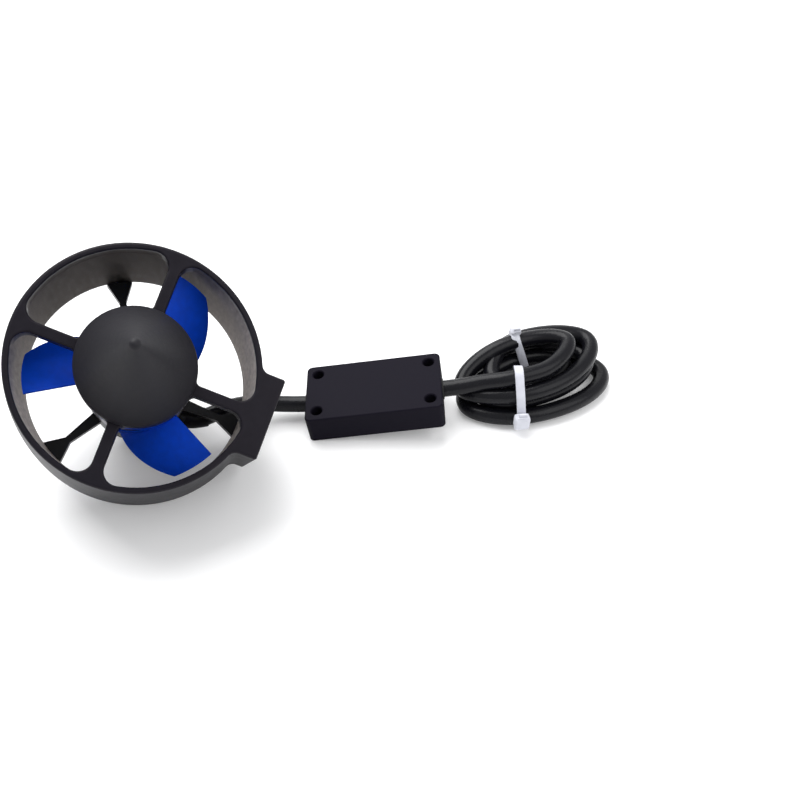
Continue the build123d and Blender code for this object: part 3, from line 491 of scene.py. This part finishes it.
def make_wires(materials):
    """Insulated wires in the lead's end, each with a short tinned tip."""
    pieces = []
    for number, route in enumerate(WIRE_ROUTES, 1):
        wire = lead_curve(f"wire_{number}", route, materials["wire_insulation"], WIRE_DIAMETER)
        before, last = Vector(route[-2]), Vector(route[-1])
        way = (last - before).normalized()
        tip = [tuple(last - way), tuple(last + way), tuple(last + way * 3.2)]
        bare = lead_curve(f"wire_tip_{number}", tip, materials["stainless_steel"], BARE_DIAMETER)
        for piece in (wire, bare):
            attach(piece, "housing")
            pieces.append(piece)
    return pieces


def band_ring(centres, grow, count=96):
    """Places (across, up) of a band pulled round circles with these centres, a given reach outside them."""
    ring = []
    for step in range(count):
        turn = 2.0 * math.pi * step / count
        way = (math.cos(turn), math.sin(turn))
        far = max(centres, key=lambda c: c[0] * way[0] + c[1] * way[1])
        ring.append((far[0] + way[0] * grow, far[1] + way[1] * grow))
    return ring


def add_band(bm, place, lean, centres, width, thickness, reach):
    """Closed strap round the turns, leaning along X with height, with softened edges."""
    soft = 0.25
    profile = [(-width / 2 + soft, 0.0), (width / 2 - soft, 0.0), (width / 2, soft), (width / 2, thickness - soft),
               (width / 2 - soft, thickness), (-width / 2 + soft, thickness), (-width / 2, thickness - soft),
               (-width / 2, soft)]
    loops = []
    for shift, grow in profile:
        loop = []
        for across, up in band_ring(centres, reach + grow):
            up = max(up, 0.05 + grow * 0.02)
            loop.append(bm.verts.new(((place + lean * up + shift) * MM, across * MM, up * MM)))
        loops.append(loop)
    count = len(loops[0])
    for first, second in zip(loops, loops[1:] + loops[:1]):
        for i in range(count):
            j = (i + 1) % count
            bm.faces.new((first[i], first[j], second[j], second[i]))


def add_block(bm, pose, size, soft):
    """Block with rounded edges; its pose is in metres and its size in millimetres."""
    made = bmesh.ops.create_cube(bm, size=1.0)
    verts = made["verts"]
    for vert in verts:
        vert.co = Vector([c * s * MM for c, s in zip(vert.co, size)])
    edges = list({edge for vert in verts for edge in vert.link_edges})
    made = bmesh.ops.bevel(bm, geom=edges, offset=soft * MM, segments=3, profile=0.5, affect="EDGES")
    shell = set(made["verts"])
    for vert in list(shell):
        for edge in vert.link_edges:
            shell.update(edge.verts)
    bmesh.ops.transform(bm, matrix=pose, verts=list(shell))


# Each tie: where it goes round the turns along X at the floor and at mid height, its lean, the side, and its head's
# place, size, turn about X and turn about Z in degrees
TIES = {
    "near_tie": (133.6, 131.7, -0.115, True, (132.4, 20.3, 8.0), (7.4, 5.2, 7.0), 0.0, 6.0),
    "far_tie": (142.2, 136.0, -0.38, False, (131.4, 62.6, 28.4), (5.2, 4.8, 6.0), 20.0, 14.0),
}
TIE_WIDTH = 4.2
TIE_THICKNESS = 1.1


def make_ties(materials):
    """Nylon ties hugging the turns, each with a head, its slot's collar and a cut tail."""
    pieces = []
    for name, (place, middle, lean, near, head, size, tip, swing) in TIES.items():
        bm = bmesh.new()
        centres = passes(middle, near)
        add_band(bm, place, lean, centres, TIE_WIDTH, TIE_THICKNESS, LEAD_DIAMETER / MM / 2 + 0.05)
        pose = (Matrix.Translation(Vector(head) * MM) @ Matrix.Rotation(math.radians(swing), 4, "Z")
                @ Matrix.Rotation(math.radians(tip), 4, "X"))
        add_block(bm, pose, size, 1.3)
        collar = pose @ Matrix.Translation(Vector((0.0, -0.6, size[2] / 2)) * MM)
        add_block(bm, collar, (size[0] * 0.74, 3.0, 1.0), 0.35)
        stub = pose @ Matrix.Translation(Vector((0.0, -0.8, size[2] / 2 + 1.0)) * MM)
        add_block(bm, stub, (min(TIE_WIDTH, size[0] * 0.66), TIE_THICKNESS, 2.0), 0.3)
        mesh = bpy.data.meshes.new(name + "_nylon")
        bm.to_mesh(mesh)
        bm.free()
        for face in mesh.polygons:
            face.use_smooth = True
        mesh.materials.append(materials["white_nylon"])
        tie = bpy.data.objects.new(name + "_nylon", mesh)
        scene.collection.objects.link(tie)
        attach(tie, "housing")
        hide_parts(name)
        pieces.append(tie)
    return pieces


def make_boot(materials):
    """Moulded boot that narrows from the tail's outlet to the lead."""
    places = [place for place, radius in BOOT_ROUTE]
    boot = lead_curve("boot_moulding", places, materials["black_housing"], 2.0 * MM)
    for point, (place, radius) in zip(boot.data.splines[0].points, BOOT_ROUTE):
        point.radius = radius
    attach(boot, "housing")
    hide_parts("cable_boot")


def make_leads(materials):
    """Both leads as smooth curves, with the thin wires at the lead's end and the nylon ties round the coil."""
    motor = lead_curve("motor_lead_sheath", MOTOR_ROUTE, materials["lead_sheath"])
    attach(motor, "housing")
    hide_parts("motor_lead")
    route = SUPPLY_ROUTE + coil_points() + TAIL_ROUTE
    supply = lead_curve("supply_lead_sheath", route, materials["lead_sheath"])
    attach(supply, "housing")
    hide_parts("supply_lead", "lead_coil", "lead_tail")
    wires = make_wires(materials)
    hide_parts("lead_wires")
    ties = make_ties(materials)


def make_stage():
    """Plain pale floor that keeps the object's shadow."""
    bpy.ops.mesh.primitive_plane_add(size=8.0, location=(0.0, 0.0, 0.0))
    floor = bpy.context.object
    floor.name = "floor"
    material, tree, shader = new_material("floor_finish", (0.86, 0.86, 0.865), 0.9)
    shader.inputs["Specular IOR Level"].default_value = 0.1
    path = tree.nodes.new("ShaderNodeLightPath")
    glow = calculated(tree, "MULTIPLY", path.outputs["Is Camera Ray"], 0.16)
    shader.inputs["Emission Color"].default_value = (1.0, 1.0, 1.0, 1.0)
    tree.links.new(glow, shader.inputs["Emission Strength"])
    floor.data.materials.append(material)


make_camera()
make_world()
make_lights()
make_stage()
finishes = make_materials()
dress_nodes(finishes)
make_boot(finishes)
make_leads(finishes)

scene.view_settings.view_transform = "Standard"
